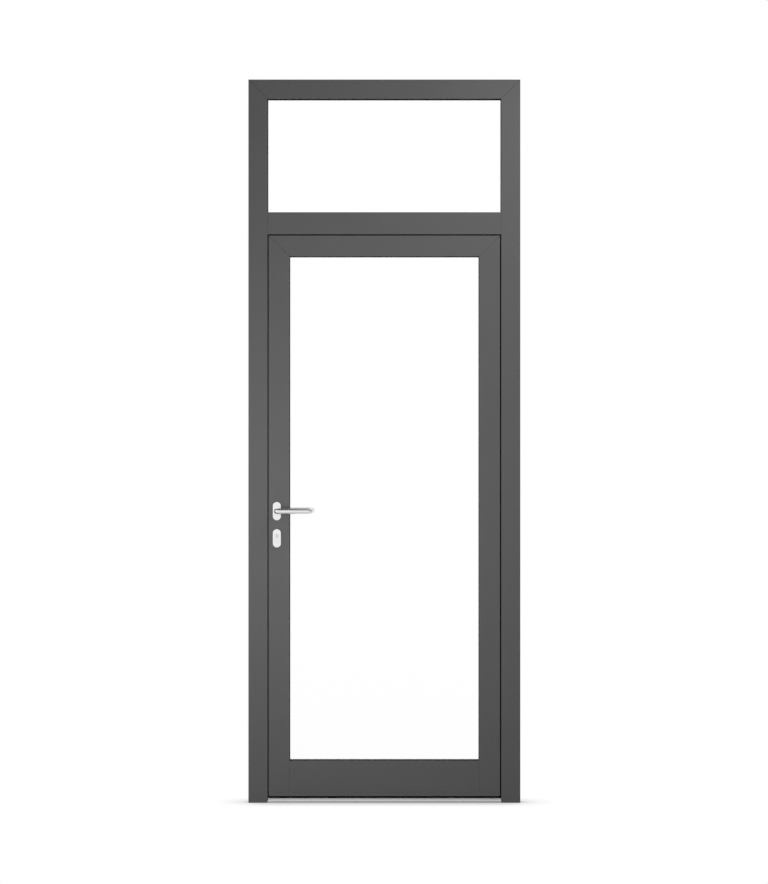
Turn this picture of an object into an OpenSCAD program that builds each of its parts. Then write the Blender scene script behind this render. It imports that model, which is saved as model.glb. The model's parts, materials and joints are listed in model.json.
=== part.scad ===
// Glazed aluminium door, closed in its frame, with a fixed fanlight above the transom.
// X runs across the door, Y from the front face to the back face, Z up from the floor.

/* [Frame] */
// Overall width of the frame
frame_w = 1000; // [850:5:1200]
// Overall height of the frame
frame_h = 2660; // [2500:5:2900]
// Depth of the frame and of the leaf
frame_d = 70; // [68:1:76]
// Width of the jambs and the head, seen from the front
frame_face = 70; // [62:1:85]
// Height of the transom, seen from the front
transom_face = 81; // [75:1:110]
// Height of the fanlight's opening in sight
fanlight_h = 418; // [300:1:600]

/* [Extrusions] */
// Wall of the aluminium extrusions
wall_t = 2; // [1.6:0.1:2.4]
// Depth of the front aluminium shell
shell_d = 23; // [21:1:25]
// Depth of the back aluminium shell
back_shell_d = 23; // [21:1:25]
// Height of the rebate that takes the glass or the leaf
rebate = 22; // [20:1:26]
// Thickness of the insulating strips between the shells
strip_t = 2; // [1.5:0.1:3]
// Distance of the outer strips from the edge of the extrusion
strip_inset = 4; // [3:0.5:5]
// Hairline left where two extrusions meet
joint_gap = 0.3; // [0.1:0.1:0.6]

/* [Leaf] */
// Air gap between the leaf and the frame
leaf_gap = 5; // [4:0.5:7]
// Width of the stiles and the top rail, seen from the front
leaf_face = 76; // [70:1:95]
// Height of the bottom rail
bottom_rail_h = 115; // [90:1:180]
// Height of the shoe under the bottom rail
shoe_h = 14.5; // [12:0.5:20]
// Underside of the shoe above the floor
leaf_z = 24.5; // [22:0.5:32]
// How far the closing edge stands out past the front face
nose_out = 10; // [9:0.5:12]
// How far the closing edge reaches in past the front face
nose_in = 8; // [7.5:0.5:12]
// Thickness of the flange that overlaps the frame at the back
flange_d = 14; // [12:1:15]
// Width of the groove for the lock's forend
groove_w = 24; // [22:1:25]
// Depth of the groove for the lock's forend
groove_d = 3; // [2.5:0.5:4]

/* [Threshold and seals] */
// Height of the threshold
threshold_h = 15; // [13:0.5:20]
// Height of the upright front edge of the threshold
threshold_edge_h = 6.5; // [5:0.5:10]
// Depth of the sloping nose of the threshold
threshold_slope_d = 14; // [10:1:18]
// Wall of the threshold
threshold_wall = 2.5; // [2:0.1:3]
// Thickness of the stop seal between frame and leaf
seal_t = 5; // [4.5:0.5:6]
// Width of the base of the stop seal
seal_base_w = 13; // [10:0.5:16]
// Width of the bulb of the stop seal
seal_bulb_w = 4; // [3:0.5:4.5]
// Width of the brush under the shoe
brush_w = 5; // [4:0.5:7]
// Width of the brush holder in the shoe
brush_holder_w = 9; // [8:0.5:12]
// Height of the brush holder
brush_holder_h = 6; // [4:0.5:7]
// Running clearance of seals on moving parts
seal_clear = 0.3; // [0.2:0.1:0.5]

/* [Glazing] */
// Thickness of each pane
pane_t = 4; // [3:0.5:6]
// Space between the panes
cavity = 16; // [12:1:18]
// Thickness of the front glazing gasket
front_gasket_t = 5; // [3:0.5:6]
// Thickness of the back glazing gasket
back_gasket_t = 4; // [3:0.5:5]
// Space round the edge of the glass in its rebate
edge_clear = 5; // [4:0.5:7]
// Width of the spacer bar between the panes
spacer_w = 12; // [8:1:14]
// Width of the glazing gaskets behind the sight line
gasket_w = 8; // [6:0.5:12]
// How far the gaskets show inside the sight line
gasket_lip = 1.5; // [1:0.5:5]
// Chamfer on the glazing beads
bead_chamfer = 3; // [1:0.5:5]
// Length of the setting blocks under the glass
block_len = 100; // [60:5:140]

/* [Lock] */
// Height of the handle's spindle above the floor
spindle_z = 1073; // [950:1:1150]
// Distance from the forend to the spindle
backset = 40; // [36:1:45]
// Distance from the spindle down to the cylinder
lock_spacing = 92; // [90:1:96]
// Thickness of the lock case
case_t = 16; // [15:0.5:18]
// Height of the lock case
case_h = 190; // [185:1:200]
// Depth of the lock case behind the forend
case_d = 55; // [54:0.5:56]
// Height of the forend
forend_h = 260; // [240:1:300]
// Reach of the latch bolt past the forend
latch_throw = 12; // [10:0.5:13]
// Throw of the dead bolt
bolt_throw = 20; // [16:1:22]
// Height of the latch bolt
latch_h = 22; // [18:1:24]
// Thickness of the latch bolt
latch_t = 12; // [10:0.5:13]
// Height of the latch above the spindle
latch_rise = 25; // [24:1:28]
// Height of the dead bolt
bolt_h = 28; // [22:1:30]
// Thickness of the dead bolt
bolt_t = 9; // [8:0.5:10]
// Height of the dead bolt above the cylinder
bolt_rise = 38; // [36:1:40]
// Thickness of the keeper on the jamb
keeper_t = 12; // [10:0.5:13]
// Height of the keeper
keeper_h = 230; // [220:1:260]
// Diameter of the round part of the profile cylinder
cylinder_d = 17; // [16:0.5:18]
// Width of the flat tail of the profile cylinder
cylinder_tail_w = 10; // [9:0.5:11]
// Overall height of the profile cylinder
cylinder_h = 33; // [32:0.5:34]
// Diameter of the key plugs
plug_d = 13; // [12:0.5:14]
// Reach of the cam from the cylinder's axis
cam_r = 15; // [13:0.5:15.5]
// Width of the cam
cam_w = 10; // [8:0.5:11]
// Side of the square spindle
spindle_w = 8; // [7:0.5:9]
// Diameter of the follower that the spindle turns
follower_d = 22; // [20:0.5:24]

/* [Handles] */
// Width of the roses and escutcheons
rose_w = 31; // [28:0.5:36]
// Height of the roses and escutcheons
rose_h = 69.5; // [60:0.5:80]
// Thickness of the roses and escutcheons
rose_t = 9; // [7:0.5:11]
// Rounding of the edge of the roses and escutcheons
rose_edge = 2.5; // [1:0.5:4]
// Diameter of the lever's tube
lever_d = 20; // [16:0.5:22]
// Length of the lever from the spindle's axis to its end
lever_len = 136; // [115:1:150]
// Distance from the door's face to the axis of the lever
lever_reach = 50; // [46:1:60]
// Radius of the lever's bends, on the axis of the tube
lever_bend = 18; // [16:0.5:22]
// Space between the lever's returned end and the door
return_gap = 14; // [12:0.5:20]
// Diameter of the collar that turns in the rose
collar_d = 16; // [14:0.5:17]

/* [Hinges] */
// Height of the lowest hinge's middle above the floor
hinge_low_z = 250; // [180:1:350]
// Distance from the top of the leaf down to the highest hinge's middle
hinge_drop = 206; // [150:1:300]
// Height of a hinge
hinge_h = 110; // [90:1:140]
// Height of the leaf's knuckle
leaf_knuckle_h = 44; // [36:1:52]
// Diameter of the hinge barrel
barrel_d = 20; // [18:0.5:22]
// Diameter of the hinge pin
pin_d = 10; // [8:0.5:11]
// Wall of the bush on the hinge pin
bush_wall = 1.5; // [1:0.1:2]
// Width of the hinge wings
wing_w = 34; // [28:1:36]
// Thickness of the hinge wings
wing_t = 4; // [3:0.5:5]

/* [Fixings] */
// Diameter of the fixing holes through the jambs
fixing_d = 10.5; // [8:0.5:12]
// Height of the lowest fixing hole
fixing_low_z = 420; // [380:1:500]
// Spacing of the outer pair of fixing holes
fixing_outer = 1340; // [1300:1:1360]
// Spacing of the inner pair of fixing holes
fixing_inner = 740; // [700:1:800]

/* [Hidden] */
$fn = 64;
// How far a cut runs past the face that it opens
overrun = 1;
// Clearance of a piece pushed into its seat
push_gap = 0.2;
// Radial clearance of a piece that turns in a bore
run_gap = 0.05;
// Clearance between pieces that move past each other
move_gap = 0.5;

anthracite = "#55565a";
mill_aluminium = "#b4b6b8";
stainless = "#c9cbcd";
rubber = "#1c1c1e";
polyamide = "#26272a";
clear_glass = "#dfeeea55";

// Planes through the depth of the door
front_y = -frame_d / 2;
back_y = frame_d / 2;
stop_y = front_y + shell_d;
back_shell_y = back_y - back_shell_d;
nose_y = stop_y + seal_t;
flange_y = back_y - flange_d;
lock_y = (nose_y + flange_y) / 2;
glass_y = stop_y + front_gasket_t;
inner_pane_y = glass_y + pane_t + cavity;
back_gasket_y = inner_pane_y + pane_t;
bead_y = back_gasket_y + back_gasket_t;

// Lines across the width and up the height of the door
half_w = frame_w / 2;
clear_x = half_w - frame_face;
leaf_x = clear_x - leaf_gap;
fan_high_z = frame_h - frame_face;
transom_top_z = fan_high_z - fanlight_h;
transom_z = transom_top_z - transom_face;
leaf_top_z = transom_z - leaf_gap;
rail_z = leaf_z + shoe_h;
sight_x = leaf_x - leaf_face;
sight_low_z = rail_z + bottom_rail_h;
sight_high_z = leaf_top_z - leaf_face;

// Openings in sight, as width, height and middle height
leaf_sight = [2 * sight_x, sight_high_z - sight_low_z, (sight_high_z + sight_low_z) / 2];
fan_sight = [2 * clear_x, fan_high_z - transom_top_z, (fan_high_z + transom_top_z) / 2];

// Lock and handle
nose_x = -leaf_x - nose_out;
spindle_x = nose_x + backset;
cylinder_z = spindle_z - lock_spacing;
cylinder_tail = cylinder_h - cylinder_d / 2;
latch_z = spindle_z + latch_rise;
bolt_z = cylinder_z + bolt_rise;
case_x = nose_x + groove_d;
case_z = (latch_z + cylinder_z) / 2 - latch_rise / 2;
rose_face_y = back_y + rose_t;
cylinder_proud = 2;
cylinder_end_y = rose_face_y + cylinder_proud;
escutcheon_z = cylinder_z + cylinder_d / 2 - cylinder_h / 2;
latch_nose_len = 22;
latch_tail_len = 13;
latch_tail_h = 10;
latch_tail_t = 8;
latch_flat_share = 0.25;
latch_bevel_share = 0.5;
bolt_len = 36;
bolt_edge = 1;
keyway_w = 2.4;
keyway_h = 8.5;
keyway_d = 24;
cam_lobe_w = 8;
spindle_len = 124;

// Hinges
hinge_x = clear_x + rebate - leaf_gap / 2;
hinge_y = back_y + barrel_d / 2 + move_gap;
hinge_high_z = leaf_top_z - hinge_drop;
hinge_mid_z = (hinge_low_z + hinge_high_z) / 2;
hinge_zs = [hinge_low_z, hinge_mid_z, hinge_high_z];
bush_flange_t = 1.5;
frame_knuckle_h = (hinge_h - leaf_knuckle_h) / 2 - bush_flange_t - seal_clear;
bush_r = pin_d / 2 + run_gap + bush_wall;
cap_h = 5;
cap_spigot_share = 0.72;
wing_gap = 1.5;

// Corner cleats
cleat_leg = 110;

// Shapes drawn once and used by many pieces
module tube_section(w, d) {
    difference() {
        square([w, d]);
        translate([wall_t, wall_t]) square([w - 2 * wall_t, d - 2 * wall_t]);
    }
}

// Extrusion along the width, with the section's first axis pointing down
module across_down(len) {
    translate([-len / 2, 0, 0]) rotate([0, 90, 0]) linear_extrude(len) children();
}

// Extrusion along the width, with the section's first axis pointing up
module across_up(len) {
    translate([len / 2, 0, 0]) rotate([0, -90, 0]) linear_extrude(len) children();
}

// Prism through the depth of the door over an outline drawn in X and Z
module through_depth(points) {
    rotate([90, 0, 0]) linear_extrude(2 * frame_d, center = true) polygon(points);
}

// Flat slab and flat ring that stand across the door
module slab(w, h, mid_z, y, t) {
    translate([-w / 2, y, mid_z - h / 2]) cube([w, t, h]);
}

module ring(sight, outer, inner, y, t) {
    difference() {
        slab(sight[0] + 2 * outer, sight[1] + 2 * outer, sight[2], y, t);
        slab(sight[0] + 2 * inner, sight[1] + 2 * inner, sight[2], y - overrun, t + 2 * overrun);
    }
}

// Extrusion sections: the first axis runs in from the outer edge, the second is Y
module frame_front_section(w) {
    translate([0, front_y]) tube_section(w, shell_d);
}

module frame_back_section(w) {
    translate([0, back_shell_y]) tube_section(w, back_shell_d);
}

module frame_section() {
    frame_front_section(frame_face);
    frame_back_section(frame_face - rebate);
}

module strip_section(edge, from_y, to_y) {
    translate([edge, from_y]) square([strip_t, to_y - from_y]);
}

module frame_strip_sections() {
    strip_section(strip_inset, stop_y, back_shell_y);
    strip_section(frame_face - rebate - strip_t, stop_y, back_shell_y);
}

// Outline of the leaf's back shell, moved in by t, without its groove
function leaf_back_outline(t, edge) = [
    [-rebate + t, flange_y + t],
    [-rebate + t, back_y - t],
    [leaf_face - rebate - t, back_y - t],
    [leaf_face - rebate - t, back_shell_y + t],
    [nose_in - t, back_shell_y + t],
    [nose_in - t, nose_y + t],
    [edge, nose_y + t],
    [edge, flange_y + t]
];

module leaf_section() {
    translate([0, front_y]) tube_section(leaf_face, shell_d);
    difference() {
        polygon(leaf_back_outline(0, -nose_out));
        polygon(leaf_back_outline(wall_t, -nose_out + groove_d + wall_t));
        translate([-nose_out - overrun, lock_y - groove_w / 2]) square([groove_d + overrun, groove_w]);
    }
}

module leaf_strip_sections() {
    strip_section(strip_inset, stop_y, nose_y);
    strip_section(leaf_face - rebate - strip_t, stop_y, back_shell_y);
}

// Fixed frame
module jamb_outline_cut() {
    intersection() {
        translate([-half_w, 0, 0]) linear_extrude(frame_h) children();
        through_depth([
            [-half_w - overrun, 0],
            [-clear_x, 0],
            [-clear_x, fan_high_z - joint_gap],
            [-half_w - overrun, frame_h + overrun - joint_gap]
        ]);
    }
}

module head_outline_cut() {
    intersection() {
        translate([0, 0, frame_h]) across_down(frame_w) children();
        through_depth([
            [-half_w, frame_h],
            [-clear_x, fan_high_z],
            [clear_x, fan_high_z],
            [half_w, frame_h]
        ]);
    }
}

module fixing_holes() {
    mid_z = fixing_low_z + fixing_outer / 2;
    for (rise = [-fixing_outer / 2, -fixing_inner / 2, fixing_inner / 2, fixing_outer / 2])
        translate([-half_w - overrun, back_shell_y + back_shell_d / 2, mid_z + rise])
            rotate([0, 90, 0]) cylinder(d = fixing_d, h = frame_face);
}

module jamb() {
    difference() {
        jamb_outline_cut() frame_section();
        fixing_holes();
    }
}

module jamb_lock_side() {
    color(anthracite) jamb();
}

module jamb_hinge_side() {
    color(anthracite) mirror([1, 0, 0]) jamb();
}

module head() {
    color(anthracite) head_outline_cut() frame_section();
}

module transom() {
    color(anthracite) translate([0, 0, transom_top_z]) {
        across_down(2 * clear_x - 2 * joint_gap) frame_front_section(transom_face);
        across_down(2 * (clear_x + rebate) - 2 * joint_gap)
            translate([rebate, 0]) frame_back_section(transom_face - 2 * rebate);
    }
}

module transom_strip_sections() {
    strip_section(rebate, stop_y, back_shell_y);
    strip_section(transom_face - rebate - strip_t, stop_y, back_shell_y);
}

// Slot that the dead bolt enters in the jamb
module bolt_slot(t) {
    end_x = nose_x - bolt_throw - move_gap;
    translate([end_x, lock_y - t / 2, bolt_z - bolt_h / 2 - move_gap])
        cube([-clear_x - rebate + overrun - end_x, t, bolt_h + 2 * move_gap]);
}

module frame_insulating_strips() {
    color(polyamide) {
        difference() {
            jamb_outline_cut() frame_strip_sections();
            bolt_slot(bolt_t + 2 * move_gap);
        }
        mirror([1, 0, 0]) jamb_outline_cut() frame_strip_sections();
        head_outline_cut() frame_strip_sections();
        translate([0, 0, transom_top_z])
            across_down(2 * (clear_x + rebate) - 2 * joint_gap) transom_strip_sections();
    }
}

// L-shaped block in the hollow of a mitred corner, drawn from the corner down and to the right
module corner_cleat(face) {
    lap = wall_t + push_gap;
    w = face - 2 * lap;
    rotate([90, 0, 0]) linear_extrude(shell_d - 2 * lap, center = true) difference() {
        translate([lap, -lap - cleat_leg]) square([cleat_leg, cleat_leg]);
        translate([lap + w, -lap - cleat_leg - overrun]) square([cleat_leg, cleat_leg - w + overrun]);
    }
}

module cleat_pair(x, z, face) {
    for (side = [0, 1])
        mirror([side, 0, 0]) translate([-x, front_y + shell_d / 2, z]) corner_cleat(face);
}

module frame_corner_cleats() {
    color(mill_aluminium) cleat_pair(half_w, frame_h, frame_face);
}

module threshold_section() {
    difference() {
        polygon([
            [0, front_y],
            [threshold_edge_h, front_y],
            [threshold_h, front_y + threshold_slope_d],
            [threshold_h, back_y - threshold_slope_d],
            [threshold_edge_h, back_y],
            [0, back_y]
        ]);
        for (side = [0, 1])
            mirror([0, side]) translate([threshold_wall, threshold_wall / 2])
                square([threshold_h - 2 * threshold_wall, back_y - threshold_slope_d - threshold_wall / 2]);
    }
}

module threshold() {
    color(mill_aluminium) intersection() {
        across_up(2 * (clear_x + rebate) - 2 * joint_gap) threshold_section();
        linear_extrude(threshold_h) {
            translate([-clear_x + joint_gap, front_y])
                square([2 * (clear_x - joint_gap), frame_d]);
            translate([-clear_x - rebate + joint_gap, stop_y + joint_gap])
                square([2 * (clear_x + rebate - joint_gap), frame_d - shell_d - joint_gap]);
        }
    }
}

module stop_seal_section() {
    bulb_edge = frame_face - move_gap;
    translate([bulb_edge - seal_base_w, stop_y]) square([seal_base_w, seal_t / 2]);
    translate([bulb_edge - seal_bulb_w, stop_y]) square([seal_bulb_w, seal_t - seal_clear]);
}

module stop_seal() {
    low_z = threshold_h + seal_clear;
    top_lap = seal_base_w + move_gap;
    color(rubber) {
        for (side = [0, 1])
            mirror([side, 0, 0]) translate([-half_w, 0, low_z])
                linear_extrude(transom_z + top_lap - low_z) stop_seal_section();
        translate([0, 0, transom_z - frame_face])
            across_up(2 * (clear_x + top_lap)) mirror([1, 0]) translate([-2 * frame_face, 0])
                stop_seal_section();
    }
}

module keeper_pocket(mid_z, h, t) {
    translate([-clear_x - rebate - overrun, lock_y - t / 2 - move_gap, mid_z - h / 2 - move_gap])
        cube([keeper_t + 2 * overrun, t + 2 * move_gap, h + 2 * move_gap]);
}

module keeper() {
    color(stainless) difference() {
        translate([-clear_x - rebate, lock_y - groove_w / 2, case_z - keeper_h / 2])
            cube([keeper_t, groove_w, keeper_h]);
        keeper_pocket(latch_z, latch_h, latch_t);
        keeper_pocket(bolt_z, bolt_h, bolt_t);
    }
}

// Glazing, the same in the fanlight and in the leaf
module glass_pane(sight, y) {
    cover = rebate - edge_clear;
    color(clear_glass) slab(sight[0] + 2 * cover, sight[1] + 2 * cover, sight[2], y, pane_t);
}

module glass_spacer(sight) {
    cover = rebate - edge_clear;
    color(mill_aluminium) ring(sight, cover, cover - spacer_w, glass_y + pane_t, cavity);
}

module glazing_gasket(sight, y, t) {
    color(rubber) ring(sight, gasket_w, -gasket_lip, y, t);
}

module bead_section() {
    difference() {
        polygon([
            [0, bead_y],
            [rebate, bead_y],
            [rebate, back_y - bead_chamfer],
            [rebate - bead_chamfer, back_y],
            [0, back_y]
        ]);
        translate([wall_t, bead_y + wall_t])
            square([rebate - bead_chamfer - wall_t, back_y - bead_y - 2 * wall_t]);
    }
}

module side_beads(sight) {
    low_z = sight[2] - sight[1] / 2 + joint_gap;
    color(anthracite) for (side = [0, 1])
        mirror([side, 0, 0]) translate([-sight[0] / 2 - rebate, 0, low_z])
            linear_extrude(sight[1] - 2 * joint_gap) bead_section();
}

module cross_beads(sight) {
    len = sight[0] + 2 * rebate - 2 * joint_gap;
    color(anthracite) {
        translate([0, 0, sight[2] + sight[1] / 2 + rebate]) across_down(len) bead_section();
        translate([0, 0, sight[2] - sight[1] / 2 - rebate]) across_up(len) bead_section();
    }
}

module setting_blocks(sight) {
    color(polyamide) for (side = [0, 1])
        mirror([side, 0, 0])
            translate([sight[0] / 4, glass_y, sight[2] - sight[1] / 2 - rebate])
                cube([block_len, bead_y - back_gasket_t - glass_y, edge_clear]);
}

module fanlight_front_pane() { glass_pane(fan_sight, glass_y); }
module fanlight_back_pane() { glass_pane(fan_sight, inner_pane_y); }
module fanlight_spacer() { glass_spacer(fan_sight); }
module fanlight_front_gasket() { glazing_gasket(fan_sight, stop_y, front_gasket_t); }
module fanlight_back_gasket() { glazing_gasket(fan_sight, back_gasket_y, back_gasket_t); }
module fanlight_side_beads() { side_beads(fan_sight); }
module fanlight_cross_beads() { cross_beads(fan_sight); }
module fanlight_setting_blocks() { setting_blocks(fan_sight); }
module leaf_front_pane() { glass_pane(leaf_sight, glass_y); }
module leaf_back_pane() { glass_pane(leaf_sight, inner_pane_y); }
module leaf_spacer() { glass_spacer(leaf_sight); }
module leaf_front_gasket() { glazing_gasket(leaf_sight, stop_y, front_gasket_t); }
module leaf_back_gasket() { glazing_gasket(leaf_sight, back_gasket_y, back_gasket_t); }
module leaf_side_beads() { side_beads(leaf_sight); }
module leaf_cross_beads() { cross_beads(leaf_sight); }
module leaf_setting_blocks() { setting_blocks(leaf_sight); }

// Swinging leaf
module stile_outline_cut() {
    intersection() {
        translate([-leaf_x, 0, rail_z + joint_gap]) linear_extrude(leaf_top_z + rebate - rail_z) children();
        through_depth([
            [-leaf_x - rebate - overrun, 0],
            [-sight_x, 0],
            [-sight_x, sight_high_z - joint_gap],
            [-leaf_x - rebate - overrun, leaf_top_z + rebate + overrun - joint_gap]
        ]);
    }
}

module top_rail_outline_cut() {
    intersection() {
        translate([0, 0, leaf_top_z]) across_down(2 * (leaf_x + rebate)) children();
        through_depth([
            [-leaf_x - rebate, leaf_top_z + rebate],
            [-sight_x, sight_high_z],
            [sight_x, sight_high_z],
            [leaf_x + rebate, leaf_top_z + rebate]
        ]);
    }
}

// Outline of a profile cylinder, with its round part on the origin
module cylinder_outline(gap) {
    circle(d = cylinder_d + 2 * gap);
    translate([-cylinder_tail_w / 2 - gap, -cylinder_tail - gap])
        square([cylinder_tail_w + 2 * gap, cylinder_tail + gap]);
}

// Placing a shape that is drawn flat on the lock's axes, and pushed through the depth
module on_door(z, from_y, len) {
    translate([spindle_x, from_y + len, z]) rotate([90, 0, 0]) linear_extrude(len) children();
}

module lock_holes() {
    on_door(spindle_z, -frame_d, 2 * frame_d) circle(d = collar_d);
    on_door(cylinder_z, -frame_d, 2 * frame_d) cylinder_outline(move_gap);
}

module lock_pocket() {
    translate([nose_x, lock_y - case_t / 2 - push_gap, case_z - case_h / 2 - push_gap])
        cube([groove_d + case_d + push_gap, case_t + 2 * push_gap, case_h + 2 * push_gap]);
}

module lock_stile() {
    color(anthracite) difference() {
        stile_outline_cut() leaf_section();
        lock_holes();
        lock_pocket();
    }
}

module hinge_stile() {
    color(anthracite) mirror([1, 0, 0]) stile_outline_cut() leaf_section();
}

module top_rail() {
    color(anthracite) top_rail_outline_cut() leaf_section();
}

module bottom_rail() {
    color(anthracite) translate([0, 0, rail_z + joint_gap]) {
        across_up(2 * (sight_x - joint_gap))
            translate([0, front_y]) tube_section(bottom_rail_h - joint_gap, shell_d);
        across_up(2 * (sight_x + rebate - joint_gap))
            translate([0, back_shell_y]) tube_section(bottom_rail_h - joint_gap - rebate, back_shell_d);
    }
}

module leaf_insulating_strips() {
    color(polyamide) {
        stile_outline_cut() leaf_strip_sections();
        mirror([1, 0, 0]) stile_outline_cut() leaf_strip_sections();
        top_rail_outline_cut() leaf_strip_sections();
        translate([0, 0, rail_z + joint_gap]) across_up(2 * (sight_x + rebate - joint_gap)) {
            strip_section(strip_inset, stop_y, back_shell_y);
            strip_section(bottom_rail_h - joint_gap - rebate - strip_t, stop_y, back_shell_y);
        }
    }
}

module leaf_corner_cleats() {
    color(mill_aluminium) cleat_pair(leaf_x, leaf_top_z, leaf_face);
}

module shoe_plan() {
    translate([-leaf_x, front_y]) square([2 * leaf_x, frame_d]);
    translate([-leaf_x - nose_out, nose_y]) square([2 * (leaf_x + nose_out), back_y - nose_y]);
    translate([-leaf_x - rebate, flange_y]) square([2 * (leaf_x + rebate), flange_d]);
}

module shoe() {
    hollow_w = back_y - wall_t - brush_holder_w / 2 - wall_t;
    color(anthracite) translate([0, 0, leaf_z]) difference() {
        linear_extrude(shoe_h) shoe_plan();
        translate([-leaf_x - rebate - overrun, -brush_holder_w / 2, -overrun])
            cube([2 * (leaf_x + rebate + overrun), brush_holder_w, brush_holder_h + overrun]);
        for (side = [0, 1])
            mirror([0, side, 0]) translate([-leaf_x + wall_t, brush_holder_w / 2 + wall_t, wall_t])
                cube([2 * (leaf_x - wall_t), hollow_w, shoe_h]);
    }
}

module bottom_brush() {
    half_len = leaf_x + nose_out;
    brush_z = threshold_h + seal_clear;
    color(rubber) {
        translate([-half_len, -brush_holder_w / 2 + push_gap, leaf_z])
            cube([2 * half_len, brush_holder_w - 2 * push_gap, brush_holder_h - push_gap]);
        translate([-half_len, -brush_w / 2, brush_z]) cube([2 * half_len, brush_w, leaf_z - brush_z]);
    }
}

// Lock
module cam_room() {
    on_door(cylinder_z, lock_y - cam_w / 2 - push_gap, cam_w + 2 * push_gap)
        circle(r = cam_r + move_gap);
}

module bolt_channel(from_x, mid_z, len, t, h) {
    translate([from_x, lock_y - t / 2, mid_z - h / 2]) cube([len, t, h]);
}

module lock_case() {
    slide_len = latch_nose_len - groove_d + move_gap;
    color(stainless) difference() {
        translate([case_x, lock_y - case_t / 2, case_z - case_h / 2]) cube([case_d, case_t, case_h]);
        on_door(spindle_z, -frame_d, 2 * frame_d) circle(d = follower_d + 2 * run_gap);
        on_door(cylinder_z, -frame_d, 2 * frame_d) cylinder_outline(push_gap);
        cam_room();
        bolt_channel(case_x - overrun, latch_z, slide_len + overrun,
            latch_t + 2 * push_gap, latch_h + 2 * push_gap);
        bolt_channel(case_x, latch_z, slide_len + latch_tail_len + move_gap,
            latch_tail_t + 2 * push_gap, latch_tail_h + 2 * push_gap);
        bolt_channel(case_x - overrun, bolt_z, bolt_len - groove_d + overrun + move_gap,
            bolt_t + 2 * push_gap, bolt_h + 2 * push_gap);
    }
}

module lock_forend() {
    color(stainless) difference() {
        translate([nose_x, lock_y - groove_w / 2 + push_gap, case_z - forend_h / 2])
            cube([groove_d, groove_w - 2 * push_gap, forend_h]);
        bolt_channel(nose_x - overrun, latch_z, groove_d + 2 * overrun,
            latch_t + 2 * push_gap, latch_h + 2 * push_gap);
        bolt_channel(nose_x - overrun, bolt_z, groove_d + 2 * overrun,
            bolt_t + 2 * push_gap, bolt_h + 2 * push_gap);
    }
}

module latch_bolt() {
    tip_x = nose_x - latch_throw;
    half_t = latch_t / 2;
    color(stainless) {
        translate([tip_x, lock_y, latch_z - latch_h / 2]) linear_extrude(latch_h) polygon([
            [0, half_t],
            [0, half_t - latch_t * latch_flat_share],
            [latch_nose_len * latch_bevel_share, -half_t],
            [latch_nose_len, -half_t],
            [latch_nose_len, half_t]
        ]);
        bolt_channel(tip_x + latch_nose_len, latch_z, latch_tail_len, latch_tail_t, latch_tail_h);
    }
}

module dead_bolt() {
    half_t = bolt_t / 2;
    color(stainless) translate([nose_x, lock_y, bolt_z - bolt_h / 2]) linear_extrude(bolt_h) polygon([
        [0, half_t - bolt_edge],
        [bolt_edge, half_t],
        [bolt_len, half_t],
        [bolt_len, -half_t],
        [bolt_edge, -half_t],
        [0, -half_t + bolt_edge]
    ]);
}

module cylinder_body() {
    color(stainless) difference() {
        on_door(cylinder_z, -cylinder_end_y, 2 * cylinder_end_y) cylinder_outline(0);
        on_door(cylinder_z, -cylinder_end_y - overrun, 2 * (cylinder_end_y + overrun)) circle(d = plug_d);
        cam_room();
    }
}

// Key plug with its keyway, from the cam out to the face of the cylinder
module key_plug(len) {
    rotate([90, 0, 0]) difference() {
        cylinder(d = plug_d - 2 * run_gap, h = len);
        translate([-keyway_w / 2, -keyway_h / 2, len - keyway_d])
            cube([keyway_w, keyway_h, keyway_d + overrun]);
    }
}

module front_key_plug() {
    inner_y = lock_y - cam_w / 2;
    color(stainless) translate([spindle_x, inner_y, cylinder_z]) key_plug(cylinder_end_y + inner_y);
}

module back_key_plug() {
    inner_y = lock_y + cam_w / 2 + push_gap;
    color(stainless) translate([spindle_x, inner_y, cylinder_z])
        mirror([0, 1, 0]) key_plug(cylinder_end_y - inner_y);
}

module cylinder_cam() {
    lobe_r = cam_lobe_w / 2;
    color(stainless) on_door(cylinder_z, lock_y - cam_w / 2, cam_w) {
        circle(d = plug_d - 2 * run_gap);
        translate([-lobe_r, -cam_r + lobe_r]) square([cam_lobe_w, cam_r - lobe_r]);
        translate([0, -cam_r + lobe_r]) circle(r = lobe_r);
    }
}

// Handles
module rounded_half_profile() {
    r = rose_w / 2;
    square([r - rose_edge, rose_t]);
    square([r, rose_t - rose_edge]);
    translate([r - rose_edge, rose_t - rose_edge]) intersection() {
        circle(r = rose_edge);
        square([rose_edge, rose_edge]);
    }
}

// Oval plate with a rounded edge, standing on the XY plane
module oval_plate() {
    straight = rose_h - rose_w;
    for (end = [-1, 1])
        translate([0, end * straight / 2, 0]) rotate_extrude() rounded_half_profile();
    for (side = [0, 1])
        mirror([side, 0, 0]) translate([0, straight / 2, 0]) rotate([90, 0, 0])
            linear_extrude(straight) rounded_half_profile();
}

module on_front_face(z) {
    translate([spindle_x, front_y, z]) rotate([90, 0, 0]) children();
}

module rose() {
    on_front_face(spindle_z) difference() {
        oval_plate();
        translate([0, 0, -overrun]) cylinder(d = collar_d + 2 * push_gap, h = rose_t + 2 * overrun);
    }
}

module escutcheon() {
    on_front_face(escutcheon_z) difference() {
        oval_plate();
        translate([0, cylinder_z - escutcheon_z, -overrun])
            linear_extrude(rose_t + 2 * overrun) cylinder_outline(push_gap);
    }
}

module front_rose() { color(stainless) rose(); }
module back_rose() { color(stainless) mirror([0, 1, 0]) rose(); }
module front_escutcheon() { color(stainless) escutcheon(); }
module back_escutcheon() { color(stainless) mirror([0, 1, 0]) escutcheon(); }

// Quarter bend of the lever's tube, from the neck's direction round to the grip's
module lever_quarter() {
    rotate_extrude(angle = 90) translate([lever_bend, 0]) circle(d = lever_d);
}

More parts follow.
